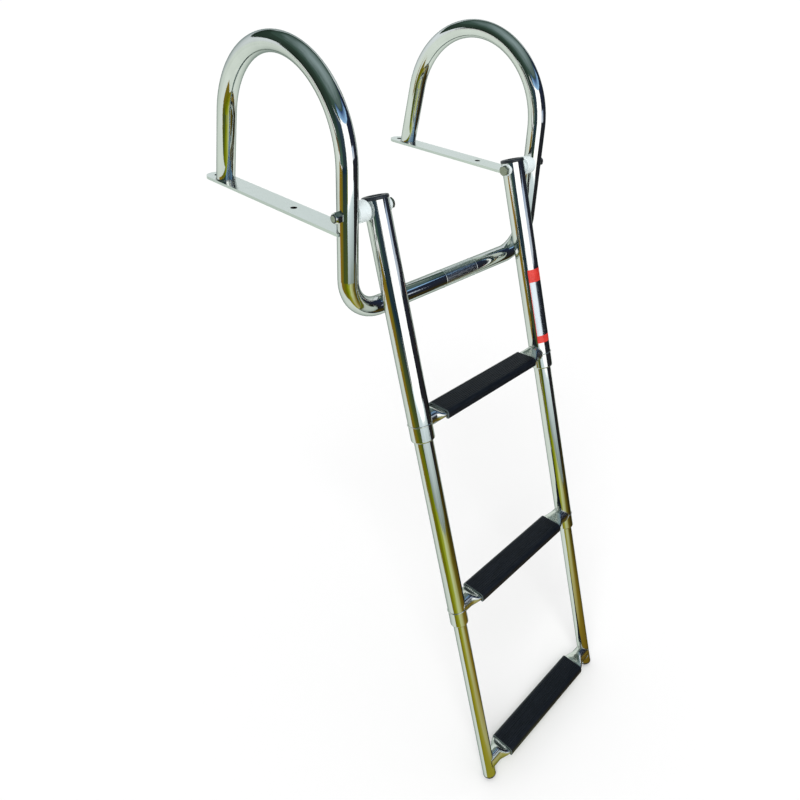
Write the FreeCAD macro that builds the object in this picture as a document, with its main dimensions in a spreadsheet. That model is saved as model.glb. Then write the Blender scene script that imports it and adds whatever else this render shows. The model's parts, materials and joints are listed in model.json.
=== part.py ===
# Telescoping boarding ladder with twin handrails, for bolting to a swim platform.
# Units are millimetres. +Z is up, +Y points inboard along the deck, +X from the left handrail to the right one.
# The origin is on the underside of the left deck plate, at the centre of its front screw hole.

import FreeCAD
import Part
import Sketcher
import os
from math import asin, copysign, cos, degrees, pi, radians, sin, sqrt

from FreeCAD import Placement, Rotation, Vector

X_AXIS = Vector(1, 0, 0)
Y_AXIS = Vector(0, 1, 0)
Z_AXIS = Vector(0, 0, 1)

# Driving dimensions, in millimetres and degrees.
DRIVING = {
    # handrails
    "arch_tube_dia": 25.4,
    "arch_tube_wall": 1.5,
    "arch_spacing": 354.0,
    "crown_radius": 121.5,
    "crown_centre_height": 74.5,
    "rear_leg_lean": 10.9,
    "crossbar_drop": 108.0,
    "bend_radius": 50.8,
    "sleeve_length": 64.0,
    "sleeve_offset": 22.0,
    # deck plates
    "plate_thickness": 4.0,
    "plate_width": 30.0,
    "front_hole_setback": 103.0,
    "screw_hole_pitch": 177.0,
    "screw_hole_dia": 8.5,
    # pivots
    "pivot_height": 23.3,
    "bolt_dia": 8.0,
    "hex_across_flats": 13.0,
    "hex_bevel": 1.0,
    "bolt_head_height": 5.3,
    "nut_height": 8.0,
    "nut_collar_dia": 11.0,
    "nut_collar_height": 1.8,
    "nut_collar_round": 0.8,
    "bolt_end_reach": 0.6,
    "spacer_dia": 26.0,
    "spacer_wrap": 3.5,
    "spacer_edge_round": 1.5,
    "spacer_neck_dia": 17.0,
    "spacer_neck_length": 3.0,
    "washer_dia": 17.0,
    "washer_thickness": 2.0,
    "washer_wrap": 2.4,
    # ladder rails
    "rail_inset": 45.3,
    "lean_angle": 17.9,
    "upper_dia": 31.75,
    "middle_dia": 25.4,
    "lower_dia": 19.05,
    "rail_wall": 1.5,
    "upper_top_reach": 9.0,
    "upper_rung_place": 278.5,
    "middle_rung_place": 562.0,
    "lower_rung_place": 837.5,
    "lower_rail_end": 856.5,
    "collar_offset": 2.1,
    "collar_length": 23.2,
    "collar_round_share": 0.75,
    "bush_height": 12.0,
    # caps and plugs
    "cap_height": 4.4,
    "cap_overhang": 0.9,
    "cap_rim_round": 0.8,
    "cap_shoulder_round": 1.7,
    "cap_dish_dia": 22.0,
    "cap_dish_depth": 1.5,
    "cap_boss_dia": 6.0,
    "cap_boss_height": 0.6,
    "cap_plug_depth": 4.0,
    "foot_rim_height": 3.2,
    "foot_edge_round": 1.9,
    "foot_plug_depth": 14.0,
    # rungs and treads
    "rung_dia": 25.0,
    "rung_wall": 1.5,
    "rung_flat_width": 33.0,
    "rung_flat_height": 8.6,
    "rung_flat_squareness": 3.0,
    "rung_end_tuck": 0.4,
    "rung_flat_end": 98.0,
    "rung_round_start": 113.0,
    "tread_length": 192.0,
    "tread_wall": 2.0,
    "tread_shoulder_round": 5.5,
    "tread_toe_round": 2.6,
    "tread_lip": 5.0,
    "tread_groove_pitch": 3.0,
    "tread_groove_depth": 0.6,
    # clearances
    "running_clearance": 0.05,
    "face_gap": 0.3,
    "slide_clearance": 0.3,
    "step_clearance": 6.0,
}

# Sizes that follow from the driving dimensions. Places down the rails are measured from the pivot.
DERIVED = {
    "left_bar_reach": "arch_spacing / 2 + sleeve_offset - sleeve_length / 2",
    "right_bar_reach": "arch_spacing / 2 - sleeve_offset - sleeve_length / 2",
    "rail_spacing": "arch_spacing - 2 * rail_inset",
    "hex_corner_radius": "hex_across_flats * 0.57",
    "bolt_head_inset": "rail_inset + upper_dia / 2 + washer_thickness + face_gap",
    "bolt_tip_reach": "arch_tube_dia / 2 + nut_height + bolt_end_reach",
    "spacer_start": "arch_tube_dia / 2 - spacer_wrap",
    "spacer_end": "rail_inset - upper_dia / 2 - face_gap",
    "upper_collar_top": "upper_rung_place + collar_offset",
    "middle_collar_top": "middle_rung_place + collar_offset",
    "upper_collar_bottom": "upper_collar_top + collar_length",
    "middle_collar_bottom": "middle_collar_top + collar_length",
    "upper_rail_top": "-upper_top_reach",
    "middle_rail_top": "upper_collar_top - bush_height - face_gap",
    "lower_rail_top": "middle_collar_top - bush_height - face_gap",
    "upper_rail_bottom": "upper_collar_top",
    "middle_rail_bottom": "middle_collar_top",
    "lower_rail_bottom": "lower_rail_end",
    "tread_half_width": "rung_flat_width / 2 + running_clearance + tread_wall",
    "tread_half_height": "rung_flat_height / 2 + running_clearance + tread_wall",
}

doc = FreeCAD.newDocument("BoardingLadder")
sheet = doc.addObject("Spreadsheet::Sheet", "Sizes")
cells = {**DRIVING, **{alias: f"={formula}" for alias, formula in DERIVED.items()}}
for row, (alias, content) in enumerate(cells.items(), start=1):
    sheet.set(f"A{row}", alias)
    sheet.set(f"B{row}", str(content))
    sheet.setAlias(f"B{row}", alias)
doc.recompute()


def size(alias):
    return float(sheet.get(alias))


# Places worked out from the driving dimensions.
SIDES = ("left", "right")
leg_y = -size("front_hole_setback")
arch_r = size("arch_tube_dia") / 2
upper_r = size("upper_dia") / 2
rail_inset = size("rail_inset")
mid_x = size("arch_spacing") / 2
pivot = Vector(0, leg_y, size("pivot_height"))
stop_reach = arch_r + upper_r + size("face_gap")
stop_lean = degrees(asin(stop_reach / (size("pivot_height") + size("crossbar_drop"))))
parts = []


def keep(obj, label, placement=None):
    """Name a finished sub-part and put it in its place."""
    obj.Label = label
    if placement is not None:
        obj.Placement = placement
    parts.append(obj)
    return obj


def inward(side):
    return 1 if side == "left" else -1


def side_x(side, inset=0.0):
    """X of a place that lies inset inwards from one handrail's plane."""
    return inset if side == "left" else size("arch_spacing") - inset


def rail_place(x, along, tilt=0.0):
    """Placement at a distance down the rails from the pivot, leaning with the rails less the tilt."""
    lean = radians(size("lean_angle"))
    base = Vector(x, pivot.y - along * sin(lean), pivot.z - along * cos(lean))
    return Placement(base, Rotation(X_AXIS, tilt - size("lean_angle")))


def primitive(kind, name, placement=None, **sizes):
    """A Part primitive whose sizes are expressions of the sheet's cells."""
    obj = doc.addObject(kind, name)
    for key, expression in sizes.items():
        obj.setExpression(key, expression)
    if placement is not None:
        obj.Placement = placement
    return obj


def fuse(name, *shapes):
    obj = doc.addObject("Part::MultiFuse", name)
    obj.Shapes = list(shapes)
    return obj


def common(name, *shapes):
    obj = doc.addObject("Part::MultiCommon", name)
    obj.Shapes = list(shapes)
    return obj


def cut(name, base, tool):
    obj = doc.addObject("Part::Cut", name)
    obj.Base = base
    obj.Tool = tool
    return obj


def edge_break(kind, name, base, pick, radius):
    """Fillet or chamfer the circular edge at one end of a cylinder: pick is min or max along its axis."""
    doc.recompute()
    edges = base.Shape.Edges
    index = pick(range(len(edges)), key=lambda k: edges[k].CenterOfMass.z)
    broken = doc.addObject(kind, name)
    broken.Base = base
    broken.Edges = [(index + 1, radius, radius)]
    return broken


def new_sketch(body, name, role):
    """A sketch on one of the body's own origin planes."""
    sketch = body.newObject("Sketcher::SketchObject", name)
    plane = next(f for f in body.Origin.OriginFeatures if f.Role == role)
    sketch.AttachmentSupport = (plane, [""])
    sketch.MapMode = "FlatFace"
    return sketch


def dimension(sketch, kind, *where, value, expression):
    """A driving dimension of a sketch, bound to the sheet."""
    index = sketch.addConstraint(Sketcher.Constraint(kind, *where, value))
    sketch.setExpression(f"Constraints[{index}]", expression)


def pin(sketch, geometry, point, x=None, y=None):
    """Place a point of a sketch: x and y are (value, expression), or None on the sketch's own axis."""
    for kind, axis, place in (("DistanceX", -2, x), ("DistanceY", -1, y)):
        if place is None:
            sketch.addConstraint(Sketcher.Constraint("PointOnObject", geometry, point, axis))
        else:
            dimension(sketch, kind, -1, 1, geometry, point, value=place[0], expression=place[1])


def circle(sketch, radius, expression):
    """A circle about the sketch's origin with its radius bound to the sheet."""
    index = sketch.addGeometry(Part.Circle(Vector(), Z_AXIS, radius), False)
    sketch.addConstraint(Sketcher.Constraint("Coincident", index, 3, -1, 1))
    dimension(sketch, "Radius", index, value=radius, expression=expression)


def on_circle(centre, radius, turn):
    """Point of a circle at a turn in degrees."""
    return centre + radius * Vector(cos(radians(turn)), sin(radians(turn)))


def trace(sketch, corners):
    """Closed outline through (corner, bulge) pairs: the edge after a corner is straight, or an arc
    through the bulge."""
    for k, (point, bulge) in enumerate(corners):
        following = corners[(k + 1) % len(corners)][0]
        if bulge is None:
            sketch.addGeometry(Part.LineSegment(point, following), False)
        else:
            sketch.addGeometry(Part.Arc(point, bulge, following), False)


# Handrail: an annulus swept up the front leg, over the crown and down the rear leg, and again from the front
# leg round the lower bend into half of the crossbar. The rear leg is cut level with the top of its plate.
def handrail_tube(side):
    hand = inward(side)
    body = doc.addObject("PartDesign::Body", f"HandrailBody_{side}")
    bend_r = size("bend_radius")
    bend_top = bend_r - size("crossbar_drop")
    crown_z = size("crown_centre_height")
    crown_r = size("crown_radius")
    lean = radians(size("rear_leg_lean"))
    bar_reach = size(f"{side}_bar_reach")

    section = new_sketch(body, f"TubeSection_{side}", "XY_Plane")
    section.setExpression(".AttachmentOffset.Base.z", "Sizes.bend_radius - Sizes.crossbar_drop")
    circle(section, arch_r, "Sizes.arch_tube_dia / 2")
    circle(section, arch_r - size("arch_tube_wall"), "Sizes.arch_tube_dia / 2 - Sizes.arch_tube_wall")

    crown = new_sketch(body, f"CrownPath_{side}", "YZ_Plane")
    rear_top = Vector(crown_r * (1 + cos(lean)), crown_z + crown_r * sin(lean))
    rear_run = (rear_top.y + arch_r) / cos(lean)
    rear_foot = rear_top + Vector(sin(lean), -cos(lean)) * rear_run
    front = crown.addGeometry(Part.LineSegment(Vector(0, bend_top), Vector(0, crown_z)), False)
    full = Part.Circle(Vector(crown_r, crown_z), Z_AXIS, crown_r)
    top = crown.addGeometry(Part.ArcOfCircle(full, lean, pi), False)
    rear = crown.addGeometry(Part.LineSegment(rear_top, rear_foot), False)
    leaning = "Sizes.rear_leg_lean * 1 deg"
    pin(crown, front, 1, None, (bend_top, "Sizes.bend_radius - Sizes.crossbar_drop"))
    pin(crown, front, 2, None, (crown_z, "Sizes.crown_centre_height"))
    crown.addConstraint(Sketcher.Constraint("Coincident", front, 2, top, 2))
    crown.addConstraint(Sketcher.Constraint("Coincident", rear, 1, top, 1))
    dimension(crown, "DistanceX", -1, 1, top, 3, value=crown_r, expression="Sizes.crown_radius")
    pin(crown, rear, 1,
        (rear_top.x, f"Sizes.crown_radius * (1 + cos({leaning}))"),
        (rear_top.y, f"Sizes.crown_centre_height + Sizes.crown_radius * sin({leaning})"))
    drop = f"(Sizes.crown_centre_height + Sizes.crown_radius * sin({leaning}) + Sizes.arch_tube_dia / 2)"
    pin(crown, rear, 2,
        (rear_foot.x, f"Sizes.crown_radius * (1 + cos({leaning})) + {drop} * tan({leaning})"),
        (rear_foot.y, "-Sizes.arch_tube_dia / 2"))

    bend = new_sketch(body, f"BendPath_{side}", "XZ_Plane")
    start = Vector(0, bend_top)
    end = Vector(hand * bend_r, -size("crossbar_drop"))
    bar_end = Vector(hand * bar_reach, end.y)
    centre = Vector(hand * bend_r, bend_top)
    angles = (pi, 1.5 * pi) if hand > 0 else (1.5 * pi, 2 * pi)
    arc = bend.addGeometry(Part.ArcOfCircle(Part.Circle(centre, Z_AXIS, bend_r), *angles), False)
    bar = bend.addGeometry(Part.LineSegment(end, bar_end), False)
    outer_point, inner_point = (1, 2) if hand > 0 else (2, 1)
    sign = "" if hand > 0 else "-"
    pin(bend, arc, outer_point, None, (start.y, "Sizes.bend_radius - Sizes.crossbar_drop"))
    dimension(bend, "DistanceX", -1, 1, arc, 3, value=centre.x, expression=f"{sign}Sizes.bend_radius")
    bend.addConstraint(Sketcher.Constraint("Coincident", arc, inner_point, bar, 1))
    pin(bend, bar, 1, (end.x, f"{sign}Sizes.bend_radius"), (end.y, "-Sizes.crossbar_drop"))
    pin(bend, bar, 2,
        (bar_end.x, f"{sign}Sizes.{side}_bar_reach"),
        (bar_end.y, "-Sizes.crossbar_drop"))

    for name, path, edges in (("Crown", crown, 3), ("Bend", bend, 2)):
        pipe = body.newObject("PartDesign::AdditivePipe", f"{name}Sweep_{side}")
        pipe.Profile = section
        pipe.Spine = (path, [f"Edge{k}" for k in range(1, edges + 1)])

    trim = primitive("Part::Box", f"LegTrim_{side}",
                     Placement(Vector(-arch_r * 2, size("crown_radius"), -4 * arch_r), Rotation()),
                     Length="Sizes.arch_tube_dia * 2", Width="Sizes.crown_radius * 3",
                     Height="Sizes.arch_tube_dia * 2 + Sizes.plate_thickness")
    drill = primitive("Part::Cylinder", f"LegDrill_{side}",
                      Placement(Vector(-2 * arch_r, 0, size("pivot_height")), Rotation(Y_AXIS, 90)),
                      Radius="Sizes.bolt_dia / 2", Height="Sizes.arch_tube_dia * 2")
    tube = cut(f"HandrailTube_{side}", body, fuse(f"HandrailCuts_{side}", trim, drill))
    keep(tube, f"handrail_tube_{side}", Placement(Vector(side_x(side), leg_y, 0), Rotation()))


# Sleeve that joins the two parts of the crossbar, nearer the right handrail.
def crossbar_sleeve():
    outer = primitive("Part::Cylinder", "SleeveOuter", Radius="Sizes.arch_tube_dia / 2",
                      Height="Sizes.sleeve_length")
    bore = primitive("Part::Cylinder", "SleeveBore", Radius="Sizes.arch_tube_dia / 2 - Sizes.arch_tube_wall",
                     Height="Sizes.sleeve_length")
    sleeve = cut("CrossbarSleeve", outer, bore)
    start = Vector(size("left_bar_reach"), leg_y, -size("crossbar_drop"))
    keep(sleeve, "crossbar_sleeve", Placement(start, Rotation(Y_AXIS, 90)))


# Deck plate: a flat bar with a full round at its rear end, a screw hole there and one part-way forward.
# Its front end is hollowed to sit against the front leg.
def deck_plate(side):
    body = doc.addObject("PartDesign::Body", f"PlateBody_{side}")
    half = size("plate_width") / 2
    rear = size("screw_hole_pitch")
    outline = new_sketch(body, f"PlateOutline_{side}", "XY_Plane")
    edge = "Sizes.plate_width / 2"
    right = outline.addGeometry(Part.LineSegment(Vector(half, leg_y), Vector(half, rear)), False)
    end = outline.addGeometry(Part.ArcOfCircle(Part.Circle(Vector(0, rear), Z_AXIS, half), 0, pi), False)
    left = outline.addGeometry(Part.LineSegment(Vector(-half, rear), Vector(-half, leg_y)), False)
    front = outline.addGeometry(Part.LineSegment(Vector(-half, leg_y), Vector(half, leg_y)), False)
    pin(outline, right, 1, (half, edge), (leg_y, "-Sizes.front_hole_setback"))
    pin(outline, right, 2, (half, edge), (rear, "Sizes.screw_hole_pitch"))
    pin(outline, left, 1, (-half, f"-{edge}"), (rear, "Sizes.screw_hole_pitch"))
    pin(outline, left, 2, (-half, f"-{edge}"), (leg_y, "-Sizes.front_hole_setback"))
    outline.addConstraint(Sketcher.Constraint("Coincident", end, 1, right, 2))
    outline.addConstraint(Sketcher.Constraint("Coincident", end, 2, left, 1))
    dimension(outline, "DistanceY", -1, 1, end, 3, value=rear, expression="Sizes.screw_hole_pitch")
    outline.addConstraint(Sketcher.Constraint("Coincident", front, 1, left, 2))
    outline.addConstraint(Sketcher.Constraint("Coincident", front, 2, right, 1))
    pad = body.newObject("PartDesign::Pad", f"PlatePad_{side}")
    pad.Profile = outline
    pad.setExpression("Length", "Sizes.plate_thickness")

    holes = new_sketch(body, f"PlateHoles_{side}", "XY_Plane")
    circle(holes, size("screw_hole_dia") / 2, "Sizes.screw_hole_dia / 2")
    second = holes.addGeometry(Part.Circle(Vector(0, rear), Z_AXIS, size("screw_hole_dia") / 2), False)
    pin(holes, second, 3, None, (rear, "Sizes.screw_hole_pitch"))
    dimension(holes, "Radius", second, value=size("screw_hole_dia") / 2, expression="Sizes.screw_hole_dia / 2")
    pocket = body.newObject("PartDesign::Pocket", f"PlateDrilling_{side}")
    pocket.Profile = holes
    pocket.Type = "ThroughAll"
    pocket.Midplane = True
    doc.recompute()
    if pocket.Shape.Volume >= pad.Shape.Volume:
        raise RuntimeError("the plate's holes aren't drilled")

    leg = primitive("Part::Cylinder", f"PlateLegCut_{side}", Placement(Vector(0, leg_y, 0), Rotation()),
                    Radius="Sizes.arch_tube_dia / 2", Height="Sizes.plate_thickness")
    nose = primitive("Part::Box", f"PlateNoseCut_{side}",
                     Placement(Vector(-2 * half, leg_y - 2 * half, 0), Rotation()),
                     Length="Sizes.plate_width * 2", Width="Sizes.plate_width",
                     Height="Sizes.plate_thickness")
    plate = cut(f"DeckPlate_{side}", body, fuse(f"PlateFrontCut_{side}", leg, nose))
    keep(plate, f"deck_plate_{side}", Placement(Vector(side_x(side), 0, 0), Rotation()))


# Pivot hardware lies along X. Distances are measured inwards from the handrail's plane.
def pivot_axis(side, inset):
    turn = Rotation(Y_AXIS, 90 if side == "left" else -90)
    return Placement(Vector(side_x(side, inset), pivot.y, pivot.z), turn)


def hexagon(name, base, height, pick):
    """A hexagonal prism with the corners of one end turned off: pick is min or max along its axis."""
    place = Placement(Vector(0, 0, base), Rotation())
    prism = primitive("Part::Prism", f"{name}Prism", place, Circumradius="Sizes.hex_across_flats / sqrt(3)",
                      Height=height)
    prism.Polygon = 6
    blank = primitive("Part::Cylinder", f"{name}Blank", place, Radius="Sizes.hex_corner_radius", Height=height)
    turned = edge_break("Part::Chamfer", f"{name}Turned", blank, pick, size("hex_bevel"))
    return common(name, prism, turned)


def pivot_bolt(side):
    shank = primitive("Part::Cylinder", f"BoltShank_{side}",
                      Placement(Vector(0, 0, -size("bolt_tip_reach")), Rotation()),
                      Radius="Sizes.bolt_dia / 2", Height="Sizes.bolt_head_inset + Sizes.bolt_tip_reach")
    head = hexagon(f"BoltHead_{side}", size("bolt_head_inset"), "Sizes.bolt_head_height", max)
    keep(fuse(f"PivotBolt_{side}", shank, head), f"pivot_bolt_{side}", pivot_axis(side, 0))


# Lock nut: a hexagon with a round collar at its outer end.
def pivot_nut(side):
    hex_part = hexagon(f"NutHex_{side}", size("nut_collar_height"),
                       "Sizes.nut_height - Sizes.nut_collar_height", min)
    ring = primitive("Part::Cylinder", f"NutCollar_{side}", Radius="Sizes.nut_collar_dia / 2",
                     Height="Sizes.nut_height / 2")
    collar_part = edge_break("Part::Fillet", f"NutCollarRounded_{side}", ring, min, size("nut_collar_round"))
    bore = primitive("Part::Cylinder", f"NutBore_{side}", Radius="Sizes.bolt_dia / 2",
                     Height="Sizes.nut_height")
    nut = cut(f"PivotNut_{side}", fuse(f"NutSolid_{side}", hex_part, collar_part), bore)
    keep(nut, f"pivot_nut_{side}", pivot_axis(side, -arch_r - size("nut_height")))


# Nylon barrel between handrail and rail: saddle-ended where it hugs the handrail, with a narrower neck
# that clears the rail's cap as the ladder swings.
def pivot_spacer(side):
    start = Placement(Vector(0, 0, size("spacer_start")), Rotation())
    barrel = primitive("Part::Cylinder", f"SpacerBarrel_{side}", start, Radius="Sizes.spacer_dia / 2",
                       Height="Sizes.spacer_end - Sizes.spacer_neck_length - Sizes.spacer_start")
    barrel_rounded = edge_break("Part::Fillet", f"SpacerRounded_{side}", barrel, max, size("spacer_edge_round"))
    neck = primitive("Part::Cylinder", f"SpacerNeck_{side}", start, Radius="Sizes.spacer_neck_dia / 2",
                     Height="Sizes.spacer_end - Sizes.spacer_start")
    leg = primitive("Part::Cylinder", f"SpacerSaddle_{side}",
                    Placement(Vector(-size("spacer_dia"), 0, 0), Rotation(Y_AXIS, 90)),
                    Radius="Sizes.arch_tube_dia / 2", Height="Sizes.spacer_dia * 2")
    bore = primitive("Part::Cylinder", f"SpacerBore_{side}",
                     Radius="Sizes.bolt_dia / 2 + Sizes.running_clearance", Height="Sizes.arch_spacing / 2")
    solid = fuse(f"SpacerSolid_{side}", barrel_rounded, neck)
    spacer = cut(f"PivotSpacer_{side}", solid, fuse(f"SpacerCuts_{side}", leg, bore))
    keep(spacer, f"pivot_spacer_{side}", pivot_axis(side, 0))


# Nylon washer under the bolt head, hollowed to hug the rail. It turns with the rail.
def saddle_washer(side):
    start = upper_r - size("washer_wrap")
    disc = primitive("Part::Cylinder", f"WasherDisc_{side}", Placement(Vector(0, 0, start), Rotation()),
                     Radius="Sizes.washer_dia / 2",
                     Height="Sizes.washer_thickness + Sizes.washer_wrap")
    rail = primitive("Part::Cylinder", f"WasherSaddle_{side}",
                     Placement(Vector(-size("washer_dia"), 0, 0), Rotation(Y_AXIS, 90)),
                     Radius="Sizes.upper_dia / 2", Height="Sizes.washer_dia * 2")
    bore = primitive("Part::Cylinder", f"WasherBore_{side}",
                     Radius="Sizes.bolt_dia / 2 + Sizes.running_clearance", Height="Sizes.arch_spacing / 2")
    washer = cut(f"SaddleWasher_{side}", disc, fuse(f"WasherCuts_{side}", rail, bore))
    turn = 90 if side == "left" else -90
    along_rail = Rotation(X_AXIS, -size("lean_angle")).multiply(Rotation(Y_AXIS, turn))
    keep(washer, f"saddle_washer_{side}",
         Placement(Vector(side_x(side, rail_inset), pivot.y, pivot.z), along_rail))


# Rails. Each tube runs down its own -Z, and its frame leans with the ladder.
INNER_TUBE = {"upper": "middle", "middle": "lower"}


def rail(stage, side):
    name = f"{stage.capitalize()}Rail_{side}"
    base = Placement(Vector(0, 0, -size(f"{stage}_rail_bottom")), Rotation())
    length = f"Sizes.{stage}_rail_bottom - Sizes.{stage}_rail_top"
    outer = primitive("Part::Cylinder", f"{name}Outer", base, Radius=f"Sizes.{stage}_dia / 2", Height=length)
    inner = primitive("Part::Cylinder", f"{name}Bore", base, Radius=f"Sizes.{stage}_dia / 2 - Sizes.rail_wall",
                      Height=length)
    pipe = cut(name, outer, inner)
    if stage == "upper":
        drill = primitive("Part::Cylinder", f"{name}Drill",
                          Placement(Vector(-size("upper_dia"), 0, 0), Rotation(Y_AXIS, 90)),
                          Radius="Sizes.bolt_dia / 2 + Sizes.running_clearance",
                          Height="Sizes.upper_dia * 2")
        pipe = cut(f"{name}Drilled", pipe, drill)
    keep(pipe, f"{stage}_rail_{side}", rail_place(side_x(side, rail_inset), 0))


# Collar at a rail's lower end: as wide as the rail, bored to guide the next tube, with a rounded lower edge.
def collar(stage, side):
    name = f"{stage.capitalize()}Collar_{side}"
    inner = INNER_TUBE[stage]
    ring = primitive("Part::Cylinder", f"{name}Ring", Radius=f"Sizes.{stage}_dia / 2",
                     Height="Sizes.collar_length")
    bore = primitive("Part::Cylinder", f"{name}Bore", Radius=f"Sizes.{inner}_dia / 2 + Sizes.slide_clearance",
                     Height="Sizes.collar_length")
    thickness = (size(f"{stage}_dia") - size(f"{inner}_dia")) / 2 - size("slide_clearance")
    rounded = edge_break("Part::Fillet", f"{name}Rounded", ring, min, size("collar_round_share") * thickness)
    place = rail_place(side_x(side, rail_inset), size(f"{stage}_collar_bottom"))
    keep(cut(name, rounded, bore), f"{stage}_collar_{side}", place)


# Nylon bush on the top of an inner tube. Extended, it stands on the collar below it.
def stop_bush(stage, outer_stage, side):
    name = f"{stage.capitalize()}Bush_{side}"
    ring = primitive("Part::Cylinder", f"{name}Ring", Height="Sizes.bush_height",
                     Radius=f"Sizes.{outer_stage}_dia / 2 - Sizes.rail_wall - Sizes.slide_clearance")
    bore = primitive("Part::Cylinder", f"{name}Bore", Radius=f"Sizes.{stage}_dia / 2",
                     Height="Sizes.bush_height")
    bottom = size(f"{stage}_rail_top") + size("bush_height")
    keep(cut(name, ring, bore), f"{stage}_bush_{side}", rail_place(side_x(side, rail_inset), bottom))


# Mushroom cap pressed into the top of an upper rail: a plug, an overhanging rim with a rounded shoulder,
# and a shallow dish with a boss in its middle.
def rail_cap(side):
    body = doc.addObject("PartDesign::Body", f"CapBody_{side}")
    outline = new_sketch(body, f"CapOutline_{side}", "XZ_Plane")
    rim_r = upper_r + size("cap_overhang")
    plug_r = upper_r - size("rail_wall")
    under = size("cap_rim_round")
    shoulder = size("cap_shoulder_round")
    crest = size("cap_height")
    dish_r = size("cap_dish_dia") / 2
    dish = size("cap_dish_depth")
    floor = crest - dish
    boss_r = size("cap_boss_dia") / 2
    boss = size("cap_boss_height")
    trace(outline, [
        (Vector(0, -size("cap_plug_depth")), None),
        (Vector(plug_r, -size("cap_plug_depth")), None),
        (Vector(plug_r, 0), None),
        (Vector(rim_r - under, 0), on_circle(Vector(rim_r - under, under), under, -45)),
        (Vector(rim_r, under), None),
        (Vector(rim_r, crest - shoulder), on_circle(Vector(rim_r - shoulder, crest - shoulder), shoulder, 45)),
        (Vector(rim_r - shoulder, crest), None),
        (Vector(dish_r, crest), None),
        (Vector(dish_r - dish, floor), None),
        (Vector(boss_r + boss, floor), None),
        (Vector(boss_r, floor + boss), None),
        (Vector(0, floor + boss), None),
    ])
    revolve = body.newObject("PartDesign::Revolution", f"CapTurned_{side}")
    revolve.Profile = outline
    revolve.ReferenceAxis = (outline, ["V_Axis"])
    revolve.Angle = 360
    keep(body, f"rail_cap_{side}", rail_place(side_x(side, rail_inset), -size("upper_top_reach")))


# Black plug that closes the lower end of a lower rail.
def foot_plug(side):
    rim = primitive("Part::Cylinder", f"FootRim_{side}",
                    Placement(Vector(0, 0, -size("foot_rim_height")), Rotation()),
                    Radius="Sizes.lower_dia / 2", Height="Sizes.foot_rim_height")
    plug = primitive("Part::Cylinder", f"FootPlug_{side}", Radius="Sizes.lower_dia / 2 - Sizes.rail_wall",
                     Height="Sizes.foot_plug_depth")
    rounded = edge_break("Part::Fillet", f"FootRounded_{side}", rim, min, size("foot_edge_round"))
    foot = fuse(f"Foot_{side}", rounded, plug)
    keep(foot, f"foot_plug_{side}", rail_place(side_x(side, rail_inset), size("lower_rail_end")))


# Rung: a round tube pressed flat for most of its length, so that a tread can clip over it, and coped at both
# ends to fit the rails. Where it is wider than its rail, its end is pinched until the walls hug the rail.
RUNG_STEPS = 4
OVAL_POINTS = 24
ROUND = 2.0


def rung_end(stage):
    """Half width and half height of a rung's end, with the girth of the round tube."""
    round_r = size("rung_dia") / 2
    half = min(round_r, size(f"{stage}_dia") / 2 + size("rung_wall") - size("rung_end_tuck"))
    tall = round_r
    for _ in range(60):
        girth = 3 * (half + tall) - sqrt((3 * half + tall) * (half + 3 * tall))
        tall += (2 * round_r - girth) / 2
    return half, tall


def add_oval(sketch, half_width, half_height, squareness):
    """Smooth closed curve between an ellipse, at a squareness of 2, and a flat-sided oval above that."""
    points = []
    for k in range(OVAL_POINTS):
        turn = 2 * pi * k / OVAL_POINTS
        across, up = cos(turn), sin(turn)
        points.append(Vector(half_width * copysign(abs(across) ** (2 / squareness), across),
                             half_height * copysign(abs(up) ** (2 / squareness), up)))
    curve = Part.BSplineCurve()
    curve.interpolate(points, PeriodicFlag=True)
    sketch.addGeometry(curve, False)


def rung_section(body, name, wall, end, share, place):
    """Section of the rung at a share of the way from the flat stretch to its end."""
    ease = share * share * (3 - 2 * share)
    flat = (size("rung_flat_width") / 2, size("rung_flat_height") / 2)
    half, tall = (a + (b - a) * ease for a, b in zip(flat, end))
    squareness = size("rung_flat_squareness") + (ROUND - size("rung_flat_squareness")) * ease
    sketch = new_sketch(body, name, "YZ_Plane")
    sketch.setExpression(".AttachmentOffset.Base.z", place)
    add_oval(sketch, half - wall, tall - wall, squareness)
    return sketch


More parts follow.
